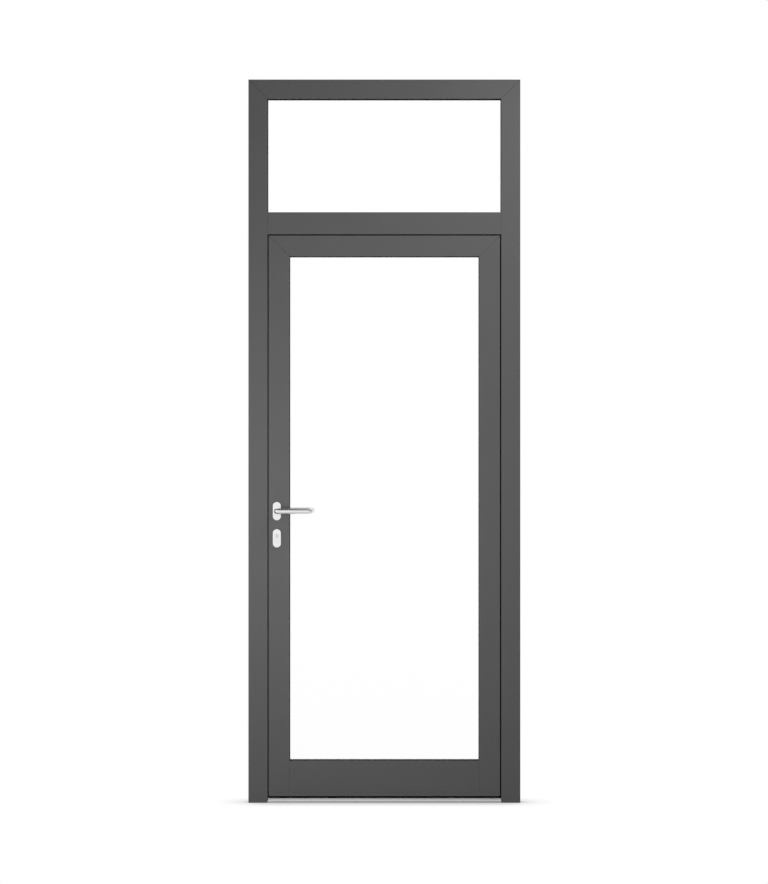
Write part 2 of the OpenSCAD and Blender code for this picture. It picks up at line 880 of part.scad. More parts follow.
// Lever drawn with Z out of the door and X along the grip
module lever() {
    neck_len = lever_reach - lever_bend - rose_t - push_gap;
    grip_len = lever_len - lever_d / 2 - 2 * lever_bend;
    return_len = lever_reach - lever_bend - return_gap;
    socket_w = spindle_w + 2 * push_gap;
    translate([spindle_x, front_y, spindle_z]) rotate([90, 0, 0]) difference() {
        union() {
            translate([0, 0, push_gap]) cylinder(d = collar_d, h = rose_t + push_gap);
            translate([0, 0, rose_t + push_gap]) cylinder(d = lever_d, h = neck_len);
            translate([lever_bend, 0, lever_reach - lever_bend]) rotate([90, 0, 180])
                lever_quarter();
            translate([lever_bend, 0, lever_reach]) rotate([0, 90, 0]) cylinder(d = lever_d, h = grip_len);
            translate([lever_bend + grip_len, 0, lever_reach - lever_bend]) rotate([90, 0, 0])
                lever_quarter();
            translate([lever_len - lever_d / 2, 0, return_gap]) cylinder(d = lever_d, h = return_len);
        }
        cube([socket_w, socket_w, spindle_len - frame_d + 2 * push_gap], center = true);
    }
}

module front_lever() { color(stainless) lever(); }
module back_lever() { color(stainless) mirror([0, 1, 0]) lever(); }

module spindle() {
    color(stainless) translate([spindle_x, 0, spindle_z])
        cube([spindle_w, spindle_len, spindle_w], center = true);
}

module follower() {
    color(stainless) on_door(spindle_z, lock_y - case_t / 2, case_t) difference() {
        circle(d = follower_d);
        square(spindle_w + 2 * push_gap, center = true);
    }
}

// Hinges, drawn on the hinge axis with the middle of the barrel on the origin
module on_hinge(z) {
    translate([hinge_x, hinge_y, z]) children();
}

// Wing and its neck, on the side that X points to
module hinge_wing(neck_from_z, neck_h) {
    face_y = -barrel_d / 2 - move_gap;
    edge = barrel_d / 2 + wing_gap;
    translate([edge, face_y, -hinge_h / 2]) cube([wing_w, wing_t, hinge_h]);
    translate([0, face_y, neck_from_z]) cube([edge + overrun, wing_t, neck_h]);
    translate([0, 0, neck_from_z]) cylinder(d = barrel_d, h = neck_h);
}

module frame_wing(z) {
    color(anthracite) on_hinge(z) difference() {
        union() {
            hinge_wing(-hinge_h / 2, frame_knuckle_h);
            hinge_wing(hinge_h / 2 - frame_knuckle_h, frame_knuckle_h);
        }
        cylinder(d = pin_d + 2 * run_gap, h = hinge_h + 2 * overrun, center = true);
    }
}

module leaf_wing(z) {
    color(anthracite) on_hinge(z) difference() {
        mirror([1, 0, 0]) hinge_wing(-leaf_knuckle_h / 2, leaf_knuckle_h);
        cylinder(r = bush_r + run_gap, h = hinge_h, center = true);
    }
}

module hinge_low_frame_wing() { frame_wing(hinge_low_z); }
module hinge_mid_frame_wing() { frame_wing(hinge_mid_z); }
module hinge_high_frame_wing() { frame_wing(hinge_high_z); }
module hinge_low_leaf_wing() { leaf_wing(hinge_low_z); }
module hinge_mid_leaf_wing() { leaf_wing(hinge_mid_z); }
module hinge_high_leaf_wing() { leaf_wing(hinge_high_z); }

module hinge_pins() {
    color(stainless) for (z = hinge_zs)
        on_hinge(z) cylinder(d = pin_d, h = hinge_h, center = true);
}

module hinge_bushes() {
    color(polyamide) for (z = hinge_zs)
        on_hinge(z) difference() {
            union() {
                cylinder(r = bush_r, h = leaf_knuckle_h, center = true);
                for (side = [0, 1])
                    mirror([0, 0, side]) translate([0, 0, leaf_knuckle_h / 2])
                        cylinder(d = barrel_d - move_gap, h = bush_flange_t);
            }
            cylinder(d = pin_d + 2 * run_gap, h = hinge_h, center = true);
        }
}

module hinge_caps() {
    color(anthracite) for (z = hinge_zs)
        for (side = [0, 1])
            on_hinge(z) mirror([0, 0, side]) translate([0, 0, hinge_h / 2]) {
                cylinder(d = barrel_d, h = cap_h / 2);
                translate([0, 0, cap_h / 2])
                    cylinder(d1 = barrel_d, d2 = barrel_d * cap_spigot_share, h = cap_h / 2);
            }
}

jamb_lock_side();
jamb_hinge_side();
head();
transom();
frame_insulating_strips();
frame_corner_cleats();
threshold();
stop_seal();
keeper();
fanlight_front_pane();
fanlight_back_pane();
fanlight_spacer();
fanlight_front_gasket();
fanlight_back_gasket();
fanlight_side_beads();
fanlight_cross_beads();
fanlight_setting_blocks();
hinge_low_frame_wing();
hinge_mid_frame_wing();
hinge_high_frame_wing();
hinge_pins();
hinge_caps();
lock_stile();
hinge_stile();
top_rail();
bottom_rail();
shoe();
bottom_brush();
leaf_insulating_strips();
leaf_corner_cleats();
leaf_front_pane();
leaf_back_pane();
leaf_spacer();
leaf_front_gasket();
leaf_back_gasket();
leaf_side_beads();
leaf_cross_beads();
leaf_setting_blocks();
hinge_low_leaf_wing();
hinge_mid_leaf_wing();
hinge_high_leaf_wing();
hinge_bushes();
lock_case();
lock_forend();
cylinder_body();
front_rose();
back_rose();
front_escutcheon();
back_escutcheon();
front_lever();
back_lever();
spindle();
follower();
latch_bolt();
dead_bolt();
front_key_plug();
cylinder_cam();
back_key_plug();
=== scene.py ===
"""Looks of the glazed aluminium door: finishes, eased edges, screws, brush, mitre sealant and studio."""
import json
import math

import bmesh
import bpy
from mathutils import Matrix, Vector


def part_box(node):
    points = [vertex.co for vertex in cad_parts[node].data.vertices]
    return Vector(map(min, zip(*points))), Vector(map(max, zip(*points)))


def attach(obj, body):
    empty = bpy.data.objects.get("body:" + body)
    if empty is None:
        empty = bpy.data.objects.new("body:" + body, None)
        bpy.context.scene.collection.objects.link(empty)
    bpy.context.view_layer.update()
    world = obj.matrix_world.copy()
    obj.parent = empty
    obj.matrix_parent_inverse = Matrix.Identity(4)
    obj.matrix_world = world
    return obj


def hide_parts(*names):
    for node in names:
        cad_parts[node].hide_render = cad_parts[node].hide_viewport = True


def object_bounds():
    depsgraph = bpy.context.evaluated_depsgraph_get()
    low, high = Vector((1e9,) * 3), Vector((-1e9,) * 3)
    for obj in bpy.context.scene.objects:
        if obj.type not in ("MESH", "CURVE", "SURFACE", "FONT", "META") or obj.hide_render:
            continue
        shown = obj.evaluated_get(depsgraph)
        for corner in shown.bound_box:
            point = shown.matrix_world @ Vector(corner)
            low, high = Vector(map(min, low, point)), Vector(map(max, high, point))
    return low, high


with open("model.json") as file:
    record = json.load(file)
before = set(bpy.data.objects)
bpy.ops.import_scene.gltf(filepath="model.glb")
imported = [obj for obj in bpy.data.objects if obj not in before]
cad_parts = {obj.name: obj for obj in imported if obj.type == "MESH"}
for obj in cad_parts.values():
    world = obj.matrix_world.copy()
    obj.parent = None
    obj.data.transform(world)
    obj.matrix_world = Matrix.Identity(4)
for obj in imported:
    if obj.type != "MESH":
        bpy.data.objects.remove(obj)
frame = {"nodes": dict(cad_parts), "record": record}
cad_low, cad_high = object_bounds()

MM = 0.001

# Photograph's frame, in pixels, and the door's place in it
PHOTO_WIDTH = 768
PHOTO_HEIGHT = 884
DOOR_TOP_PX = 79.5
DOOR_FOOT_PX = 802.8
DOOR_MIDDLE_PX = 384.37

# Camera, and the card on the floor
CAMERA_DISTANCE = 12.0
SENSOR = 36.0
FLOOR_SIZE = 30.0
FLOOR_SINK = 0.2 * MM

# Dome of light: its level at the horizon, and the share of it that is left overhead
DOME_LEVEL = 1.02
CEILING_LEVEL = 0.1

# Rise of a direction at which the dome starts to dim, as it lights the door and as metal sees it,
# and the rise at which it is dimmest
DOME_EDGE = 0.1
MIRRORED_EDGE = 0.4
CEILING_FULL = 0.85

# Dark flag that metal sees on the right: where it begins, where it is full, and the light it leaves
FLAG_EDGE = 0.5
FLAG_FULL = 0.85
FLAG_LEVEL = 0.35

# Shadow at the door's foot: how far it reaches, the share of white left in it, and the share of open
# sky that counts as right beside the door
SHADOW_REACH = 0.14
SHADOW_SHARE = 0.48
BESIDE_A_WALL = 0.5

# Floor that metal sees close below it, with painted shade: its level, and how steep the way up to the handle
# is there
NEAR_FLOOR_SHADE = 0.55
NEAR_FLOOR_TILT = 0.6

# Rounding of sawn and machined edges, and the steps it is made in
EXTRUSION_EDGE = 0.35 * MM
HARDWARE_EDGE = 0.5 * MM
EDGE_STEPS = 2

# Sealant along the mitre cuts: its width, and how far it stands out of the coat and goes into it
SEALANT_WIDTH = 0.7 * MM
SEALANT_PROUD = 0.06 * MM
SEALANT_SUNK = 0.04 * MM

# Heights on the threshold where the painted shade on its nose ends and the painted highlight on its top
# begins
PAINTED_SHADE_TOP = 5.5 * MM
PAINTED_HIGHLIGHT_FROM = 7.5 * MM

# Raised screw heads, as radius and height
HINGE_SCREW = (4.2 * MM, 1.6 * MM)
FOREND_SCREW = (3.4 * MM, 0.9 * MM)
LEVER_SCREW = (2.2 * MM, 0.5 * MM)
LEVER_SCREW_SINK = 0.3 * MM
LEVER_SCREW_INSET = 9 * MM
HINGE_SCREW_PITCH = 36 * MM
FOREND_SCREW_INSET = 16 * MM
KEEPER_SCREW_INSET = 14 * MM

# Form of a screw head: its sides, and shares of its height and radius
SCREW_SIDES = 24
CROWN_RISE_SHARE = 0.3
CROWN_SHARE = 0.78
RECESS_SHARE = 0.62
RECESS_DEPTH_SHARE = 0.8
RECESS_LOBES = 6.0
LOBE_SHARE = 0.16

# Sealing brush under the leaf
BRISTLE_PITCH = 1.0 * MM
BRISTLE_ROWS = 6
BRISTLE_RADIUS = 0.25 * MM
BRISTLE_SIDES = 4
BRISTLE_JITTER = 0.35 * MM
BRISTLE_LEAN = math.radians(5)
BRUSH_PILE_WIDTH = 4.4 * MM
BACKING_EDGE = 0.4 * MM
BRUSH_FILM = 0.3 * MM
FILM_EDGE = BRUSH_FILM / 4
BRUSH_SEED = 7

# Hinge wings: where they start beside the axis, and their thickness
HINGE_WING_START = 11.5 * MM
HINGE_WING_THICKNESS = 4 * MM

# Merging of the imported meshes, and what counts as flat, as sharp and as a mitre cut
MERGE = 0.005 * MM
FLAT_ANGLE = math.radians(0.5)
SHARP_ANGLE = math.radians(35)
MITRE_SKEW = 0.5

# Softboxes as name, place, size and power
SOFTBOXES = (
    ("high_softbox", (0.85, -0.85, 2.65), 0.6, 8.5),
    ("low_softbox", (-0.55, -1.4, 1.0), 0.6, 15),
    ("back_softbox", (-1.2, 3.2, 1.6), 1.6, 62),
)


def linear(hex_text):
    """Linear colour of an sRGB hex value."""
    shares = [int(hex_text[i:i + 2], 16) / 255 for i in (1, 3, 5)]
    return (*[s / 12.92 if s <= 0.04045 else ((s + 0.055) / 1.055) ** 2.4 for s in shares], 1.0)


def add_node(tree, kind, settings=None, inputs=None):
    """Node with its settings; an input that is given a socket is linked, any other is set."""
    node = tree.nodes.new(kind)
    for name, value in (settings or {}).items():
        setattr(node, name, value)
    for key, value in (inputs or {}).items():
        if isinstance(value, bpy.types.NodeSocket):
            tree.links.new(value, node.inputs[key])
        else:
            node.inputs[key].default_value = value
    return node


def new_material(name):
    """Empty node material with its output and the object's own coordinates."""
    material = bpy.data.materials.new(name)
    material.use_nodes = True
    tree = material.node_tree
    tree.nodes.clear()
    output = add_node(tree, "ShaderNodeOutputMaterial")
    place = add_node(tree, "ShaderNodeTexCoord").outputs["Object"]
    return material, tree, output, place


def per_metre(size_mm):
    """Texture scale that gives features of this size in millimetres."""
    return 1 / (size_mm * MM)


def powder_coated_aluminium():
    """Anthracite polyester powder: a dull, even skin with a fine orange-peel that breaks up its shine."""
    material, tree, output, place = new_material("powder_coated_aluminium")
    cloud = add_node(tree, "ShaderNodeTexNoise", inputs={
        "Vector": place, "Scale": per_metre(180), "Detail": 3.0})
    tone = add_node(tree, "ShaderNodeMix", {"data_type": "RGBA"}, {
        "Factor": cloud.outputs["Fac"], "A": linear("#585858"), "B": linear("#5c5c5c")})
    # The powder's own grain is about 0.3 mm; it is drawn at 1.2 mm so that it shows in close views
    grain = add_node(tree, "ShaderNodeTexNoise", inputs={
        "Vector": place, "Scale": per_metre(1.2), "Detail": 2.0, "Roughness": 0.6})
    gloss = add_node(tree, "ShaderNodeMapRange", inputs={
        "Value": grain.outputs["Fac"], "To Min": 0.8, "To Max": 0.92})
    peel = add_node(tree, "ShaderNodeBump", inputs={
        "Height": grain.outputs["Fac"], "Strength": 0.12, "Distance": 0.08 * MM})
    shader = add_node(tree, "ShaderNodeBsdfPrincipled", inputs={
        "Base Color": tone.outputs["Result"], "Roughness": gloss.outputs["Result"],
        "Normal": peel.outputs["Normal"], "IOR": 1.48, "Specular IOR Level": 0.2})
    tree.links.new(shader.outputs["BSDF"], output.inputs["Surface"])
    return material


def extruded_aluminium(name, shaded_nose_tones, lit_top_tones):
    """Bare mill-finish aluminium: pale metal with die lines along it, in one tone low down and one above,
    which paint shade low down and a highlight above where they differ.
    """
    material, tree, output, place = new_material(name)
    along = add_node(tree, "ShaderNodeMapping", inputs={"Vector": place, "Scale": (0.004, 1.0, 1.0)})
    # Die lines are about 0.2 mm wide; they are drawn at 0.8 mm so that they show in close views
    lines = add_node(tree, "ShaderNodeTexNoise", inputs={
        "Vector": along.outputs["Vector"], "Scale": per_metre(0.8), "Detail": 3.0})
    height = add_node(tree, "ShaderNodeSeparateXYZ", inputs={"Vector": place})
    # Painted light: below this height the tone is the nose's painted shade, above it the top's painted
    # highlight
    highlight_share = add_node(tree, "ShaderNodeMapRange", inputs={
        "Value": height.outputs["Z"], "From Min": PAINTED_SHADE_TOP, "From Max": PAINTED_HIGHLIGHT_FROM})
    # dull is the painted shade tone, bright the painted highlight tone
    dull, bright = [
        add_node(tree, "ShaderNodeMix", {"data_type": "RGBA"}, {
            "Factor": lines.outputs["Fac"], "A": linear(low), "B": linear(high)}).outputs["Result"]
        for low, high in (shaded_nose_tones, lit_top_tones)]
    tone = add_node(tree, "ShaderNodeMix", {"data_type": "RGBA"}, {
        "Factor": highlight_share.outputs["Result"], "A": dull, "B": bright})
    gloss = add_node(tree, "ShaderNodeMapRange", inputs={
        "Value": lines.outputs["Fac"], "To Min": 0.48, "To Max": 0.62})
    score = add_node(tree, "ShaderNodeBump", inputs={
        "Height": lines.outputs["Fac"], "Strength": 0.15, "Distance": 0.05 * MM})
    shader = add_node(tree, "ShaderNodeBsdfPrincipled", inputs={
        "Base Color": tone.outputs["Result"], "Metallic": 0.1, "Roughness": gloss.outputs["Result"],
        "Normal": score.outputs["Normal"], "Specular IOR Level": 0.2})
    tree.links.new(shader.outputs["BSDF"], output.inputs["Surface"])
    return material


def satin_stainless_steel():
    """Belt-ground stainless steel: bright metal whose fine scratches stretch its highlights."""
    material, tree, output, place = new_material("satin_stainless_steel")
    along = add_node(tree, "ShaderNodeMapping", inputs={"Vector": place, "Scale": (0.03, 1.0, 1.0)})
    # Belt scratches are about 0.05 mm; they are drawn at 0.5 mm so that they show in close views
    scratch = add_node(tree, "ShaderNodeTexNoise", inputs={
        "Vector": along.outputs["Vector"], "Scale": per_metre(0.5), "Detail": 4.0, "Roughness": 0.65})
    tone = add_node(tree, "ShaderNodeMix", {"data_type": "RGBA"}, {
        "Factor": scratch.outputs["Fac"], "A": linear("#f0f0ef"), "B": linear("#f9f9f8")})
    gloss = add_node(tree, "ShaderNodeMapRange", inputs={
        "Value": scratch.outputs["Fac"], "To Min": 0.2, "To Max": 0.32})
    shader = add_node(tree, "ShaderNodeBsdfPrincipled", inputs={
        "Base Color": tone.outputs["Result"], "Metallic": 1.0, "Roughness": gloss.outputs["Result"],
        "Anisotropic": 0.3})
    tree.links.new(shader.outputs["BSDF"], output.inputs["Surface"])
    return material


def moulded_rubber():
    """Moulded EPDM rubber: near black and dull, with a faint dusty bloom along its length."""
    material, tree, output, place = new_material("moulded_rubber")
    bloom = add_node(tree, "ShaderNodeTexNoise", inputs={
        "Vector": place, "Scale": per_metre(14), "Detail": 4.0})
    tone = add_node(tree, "ShaderNodeMix", {"data_type": "RGBA"}, {
        "Factor": bloom.outputs["Fac"], "A": linear("#0e0e0f"), "B": linear("#171718")})
    # The skin's pores are finer than this; they are drawn at 0.8 mm so that they show in close views
    skin = add_node(tree, "ShaderNodeTexNoise", inputs={"Vector": place, "Scale": per_metre(0.8)})
    pores = add_node(tree, "ShaderNodeBump", inputs={
        "Height": skin.outputs["Fac"], "Strength": 0.2, "Distance": 0.1 * MM})
    shader = add_node(tree, "ShaderNodeBsdfPrincipled", inputs={
        "Base Color": tone.outputs["Result"], "Roughness": 0.8, "Normal": pores.outputs["Normal"],
        "IOR": 1.52, "Specular IOR Level": 0.1})
    tree.links.new(shader.outputs["BSDF"], output.inputs["Surface"])
    return material


def glass_filled_polyamide():
    """Black polyamide with short glass fibres: a dull face with pale flecks drawn along the strip."""
    material, tree, output, place = new_material("glass_filled_polyamide")
    along = add_node(tree, "ShaderNodeMapping", inputs={"Vector": place, "Scale": (1.0, 1.0, 0.2)})
    # Glass fibres are about 0.2 mm long; they are drawn at 1 mm so that they show in close views
    fibres = add_node(tree, "ShaderNodeTexNoise", inputs={
        "Vector": along.outputs["Vector"], "Scale": per_metre(1.0), "Detail": 4.0, "Roughness": 0.7})
    tone = add_node(tree, "ShaderNodeMix", {"data_type": "RGBA"}, {
        "Factor": fibres.outputs["Fac"], "A": linear("#1f2022"), "B": linear("#303235")})
    shader = add_node(tree, "ShaderNodeBsdfPrincipled", inputs={
        "Base Color": tone.outputs["Result"], "Roughness": 0.5, "IOR": 1.53})
    tree.links.new(shader.outputs["BSDF"], output.inputs["Surface"])
    return material


def polypropylene_pile():
    """Black polypropylene bristles: dull strands that pick up a little grey at their sides."""
    material, tree, output, place = new_material("polypropylene_pile")
    strand = add_node(tree, "ShaderNodeTexNoise", inputs={
        "Vector": place, "Scale": per_metre(2.0), "Detail": 2.0})
    tone = add_node(tree, "ShaderNodeMix", {"data_type": "RGBA"}, {
        "Factor": strand.outputs["Fac"], "A": linear("#0a0a0b"), "B": linear("#161617")})
    shader = add_node(tree, "ShaderNodeBsdfPrincipled", inputs={
        "Base Color": tone.outputs["Result"], "Roughness": 0.85, "IOR": 1.49, "Specular IOR Level": 0.2})
    tree.links.new(shader.outputs["BSDF"], output.inputs["Surface"])
    return material


def toughened_glass():
    """Clear toughened float glass: nearly colourless, with the slow roller wave that bends reflections."""
    material, tree, output, place = new_material("toughened_glass")
    wave = add_node(tree, "ShaderNodeTexNoise", inputs={
        "Vector": place, "Scale": per_metre(280), "Detail": 0.0})
    roller = add_node(tree, "ShaderNodeBump", inputs={
        "Height": wave.outputs["Fac"], "Strength": 0.1, "Distance": 0.3 * MM})
    pane = add_node(tree, "ShaderNodeBsdfPrincipled", inputs={
        "Base Color": linear("#ffffff"), "Roughness": 0.0, "IOR": 1.52, "Transmission Weight": 1.0,
        "Normal": roller.outputs["Normal"]})
    # Light from the lamps passes straight through, so the panes cast no dark shadow
    path = add_node(tree, "ShaderNodeLightPath")
    clear = add_node(tree, "ShaderNodeBsdfTransparent", inputs={"Color": linear("#ffffff")})
    surface = add_node(tree, "ShaderNodeMixShader", inputs={
        0: path.outputs["Is Shadow Ray"], 1: pane.outputs["BSDF"], 2: clear.outputs["BSDF"]})
    tree.links.new(surface.outputs["Shader"], output.inputs["Surface"])
    return material


COAT = powder_coated_aluminium()
MILL_TONES = ("#cbccce", "#dcdddd")
MILL = extruded_aluminium("extruded_aluminium", MILL_TONES, MILL_TONES)
# Threshold tones: a darker nose as painted shade and a lighter top as painted highlight
SHADED_NOSE_LIT_TOP = extruded_aluminium("aluminium_with_painted_light", ("#a9aaac", "#b9babb"), ("#ececed", "#f8f8f8"))
STEEL = satin_stainless_steel()
RUBBER = moulded_rubber()
POLYAMIDE = glass_filled_polyamide()
GLASS = toughened_glass()
PILE = polypropylene_pile()
SLOT_MATERIALS = {
    "coated_aluminium": COAT,
    "mill_aluminium": MILL,
    "stainless": STEEL,
    "rubber": RUBBER,
    "brush": PILE,
    "polyamide": POLYAMIDE,
    "glass": GLASS,
}
# The threshold is painted darker on its nose and lighter on its top, as painted shade and painted highlight
NODE_MATERIALS = {"threshold": SHADED_NOSE_LIT_TOP}
NODE_SLOTS = {part["node"]: part["material_slot"] for part in frame["record"]["subparts"]}
NODE_BODIES = {
    node: body for body, nodes in frame["record"]["behaviour"]["bodies"].items() for node in nodes}


def finish_of(name):
    """Finish of a node: its own, or else that of its slot in the record."""
    return NODE_MATERIALS.get(name, SLOT_MATERIALS[NODE_SLOTS[name]])


def finish_cad_nodes():
    """Give every node its finish."""
    for name, part in frame["nodes"].items():
        part.data.materials.clear()
        part.data.materials.append(finish_of(name))


def add_piece(name, mesh, body):
    """Link a finished mesh as a piece that rides on a body."""
    piece = bpy.data.objects.new(name, mesh)
    bpy.context.scene.collection.objects.link(piece)
    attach(piece, body)
    return piece


def is_mitre(face):
    """A mitre cut faces across the door and up or down at once."""
    return abs(face.normal.x) > MITRE_SKEW and abs(face.normal.z) > MITRE_SKEW


def ease_edges(name, radius, keep_mitres):
    """Stand a copy of a node in for it, with its edges broken by a small round, mitre cuts left sharp."""
    work = bmesh.new()
    work.from_mesh(frame["nodes"][name].data)
    bmesh.ops.remove_doubles(work, verts=work.verts, dist=MERGE)
    bmesh.ops.dissolve_limit(
        work, angle_limit=FLAT_ANGLE, verts=work.verts, edges=work.edges, delimit={"NORMAL"})
    weight = work.edges.layers.float.new("bevel_weight_edge")
    for edge in work.edges:
        sawn = keep_mitres and any(is_mitre(face) for face in edge.link_faces)
        if edge.calc_face_angle(0.0) > SHARP_ANGLE and not sawn:
            edge[weight] = 1.0
    mesh = bpy.data.meshes.new(f"{name}_eased")
    work.to_mesh(mesh)
    work.free()
    mesh.materials.append(finish_of(name))
    mesh.shade_smooth()
    mesh.set_sharp_from_angle(angle=SHARP_ANGLE)
    piece = add_piece(mesh.name, mesh, NODE_BODIES[name])
    bevel = piece.modifiers.new("edges", "BEVEL")
    bevel.width = radius
    bevel.segments = EDGE_STEPS
    bevel.limit_method = "WEIGHT"
    bevel.harden_normals = True
    # Sliding along the neighbouring edges would push a corner of the threshold below the floor
    bevel.loop_slide = False
    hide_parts(name)


EXTRUSIONS = (
    "jamb_lock_side", "jamb_hinge_side", "head", "transom", "lock_stile", "hinge_stile", "top_rail",
    "bottom_rail", "shoe", "threshold", "fanlight_side_beads", "fanlight_cross_beads",
    "leaf_side_beads", "leaf_cross_beads")
HARDWARE = (
    "hinge_low_frame_wing", "hinge_mid_frame_wing", "hinge_high_frame_wing", "hinge_low_leaf_wing",
    "hinge_mid_leaf_wing", "hinge_high_leaf_wing", "hinge_caps", "lock_forend", "keeper",
    "latch_bolt", "dead_bolt", "cylinder_body")


def node_group(name, sizes):
    """Empty geometry tree with named size inputs, and the node that gives them."""
    tree = bpy.data.node_groups.new(name, "GeometryNodeTree")
    tree.interface.new_socket("Geometry", in_out="INPUT", socket_type="NodeSocketGeometry")
    for label, kind in sizes.items():
        tree.interface.new_socket(label, in_out="INPUT", socket_type=f"NodeSocket{kind}")
    tree.interface.new_socket("Geometry", in_out="OUTPUT", socket_type="NodeSocketGeometry")
    return tree, add_node(tree, "NodeGroupInput").outputs


def close_tree(tree, geometry, material):
    """End a geometry tree in real faces with a material."""
    real = add_node(tree, "GeometryNodeRealizeInstances", inputs={"Geometry": geometry})
    dressed = add_node(tree, "GeometryNodeSetMaterial", inputs={
        "Geometry": real.outputs["Geometry"], "Material": material})
    add_node(tree, "NodeGroupOutput", inputs={"Geometry": dressed.outputs["Geometry"]})


def grow(tree, points, values):
    """Plain mesh of what a geometry tree makes on the given points."""
    seed_mesh = bpy.data.meshes.new("points")
    seed_mesh.from_pydata(points, [], [])
    carrier = bpy.data.objects.new("points", seed_mesh)
    bpy.context.scene.collection.objects.link(carrier)
    modifier = carrier.modifiers.new("grow", "NODES")
    modifier.node_group = tree
    for item in tree.interface.items_tree:
        if item.in_out == "INPUT" and item.name in values:
            modifier[item.identifier] = values[item.name]
    depsgraph = bpy.context.evaluated_depsgraph_get()
    mesh = bpy.data.meshes.new_from_object(carrier.evaluated_get(depsgraph), depsgraph=depsgraph)
    bpy.data.objects.remove(carrier)
    return mesh


def raised_screws():
    """Tree: a raised head with a six-lobed recess on each point, turned at random about its axis."""
    tree, given = node_group("raised_screws", {
        "Head Radius": "Float", "Head Height": "Float", "Facing": "Vector", "Seed": "Int"})
    head = add_node(tree, "GeometryNodeMeshCylinder", inputs={
        "Vertices": SCREW_SIDES, "Radius": given["Head Radius"], "Depth": given["Head Height"]})
    crown_rise = add_node(tree, "ShaderNodeMath", {"operation": "MULTIPLY"}, {
        0: given["Head Height"], 1: CROWN_RISE_SHARE})
    crown = add_node(tree, "GeometryNodeExtrudeMesh", inputs={
        "Mesh": head.outputs["Mesh"], "Selection": head.outputs["Top"],
        "Offset Scale": crown_rise.outputs["Value"]})
    crowned = add_node(tree, "GeometryNodeScaleElements", inputs={
        "Geometry": crown.outputs["Mesh"], "Selection": crown.outputs["Top"],
        "Scale": CROWN_SHARE})
    rim = add_node(tree, "GeometryNodeExtrudeMesh", inputs={
        "Mesh": crowned.outputs["Geometry"], "Selection": crown.outputs["Top"], "Offset Scale": 0.0})
    rimmed = add_node(tree, "GeometryNodeScaleElements", inputs={
        "Geometry": rim.outputs["Mesh"], "Selection": rim.outputs["Top"],
        "Scale": RECESS_SHARE})

    # Six lobes: every fourth point of the recess goes out, and the one halfway between comes in
    spot = add_node(tree, "GeometryNodeInputPosition")
    flat = add_node(tree, "ShaderNodeSeparateXYZ", inputs={"Vector": spot.outputs["Position"]})
    angle = add_node(tree, "ShaderNodeMath", {"operation": "ARCTAN2"}, {
        0: flat.outputs["Y"], 1: flat.outputs["X"]})
    turns = add_node(tree, "ShaderNodeMath", {"operation": "MULTIPLY"}, {
        0: angle.outputs["Value"], 1: RECESS_LOBES})
    lobe = add_node(tree, "ShaderNodeMath", {"operation": "COSINE"}, {0: turns.outputs["Value"]})
    reach = add_node(tree, "ShaderNodeMath", {"operation": "MULTIPLY"}, {
        0: lobe.outputs["Value"], 1: LOBE_SHARE})
    outward = add_node(tree, "ShaderNodeVectorMath", {"operation": "MULTIPLY"}, {
        0: spot.outputs["Position"], 1: (1.0, 1.0, 0.0)})
    push = add_node(tree, "ShaderNodeVectorMath", {"operation": "SCALE"}, {
        0: outward.outputs["Vector"], "Scale": reach.outputs["Value"]})
    lobed = add_node(tree, "GeometryNodeSetPosition", inputs={
        "Geometry": rimmed.outputs["Geometry"], "Selection": rim.outputs["Top"],
        "Offset": push.outputs["Vector"]})
    recess_depth = add_node(tree, "ShaderNodeMath", {"operation": "MULTIPLY"}, {
        0: given["Head Height"], 1: -RECESS_DEPTH_SHARE})
    recess = add_node(tree, "GeometryNodeExtrudeMesh", inputs={
        "Mesh": lobed.outputs["Geometry"], "Selection": rim.outputs["Top"],
        "Offset Scale": recess_depth.outputs["Value"]})

    half = add_node(tree, "ShaderNodeMath", {"operation": "MULTIPLY"}, {0: given["Head Height"], 1: 0.5})
    lift = add_node(tree, "ShaderNodeCombineXYZ", inputs={"Z": half.outputs["Value"]})
    seated = add_node(tree, "GeometryNodeTransform", inputs={
        "Geometry": recess.outputs["Mesh"], "Translation": lift.outputs["Vector"]})
    facing = add_node(tree, "FunctionNodeAlignRotationToVector", {"axis": "Z"}, {
        "Vector": given["Facing"]})
    twist = add_node(tree, "FunctionNodeRandomValue", {"data_type": "FLOAT"}, {
        "Max": math.tau, "Seed": given["Seed"]})
    spin = add_node(tree, "FunctionNodeAxisAngleToRotation", inputs={
        "Axis": (0.0, 0.0, 1.0), "Angle": twist.outputs["Value"]})
    turned = add_node(tree, "FunctionNodeRotateRotation", {"rotation_space": "LOCAL"}, {
        "Rotation": facing.outputs["Rotation"], "Rotate By": spin.outputs["Rotation"]})
    screws = add_node(tree, "GeometryNodeInstanceOnPoints", inputs={
        "Points": given["Geometry"], "Instance": seated.outputs["Geometry"],
        "Rotation": turned.outputs["Rotation"]})
    close_tree(tree, screws.outputs["Instances"], STEEL)
    return tree


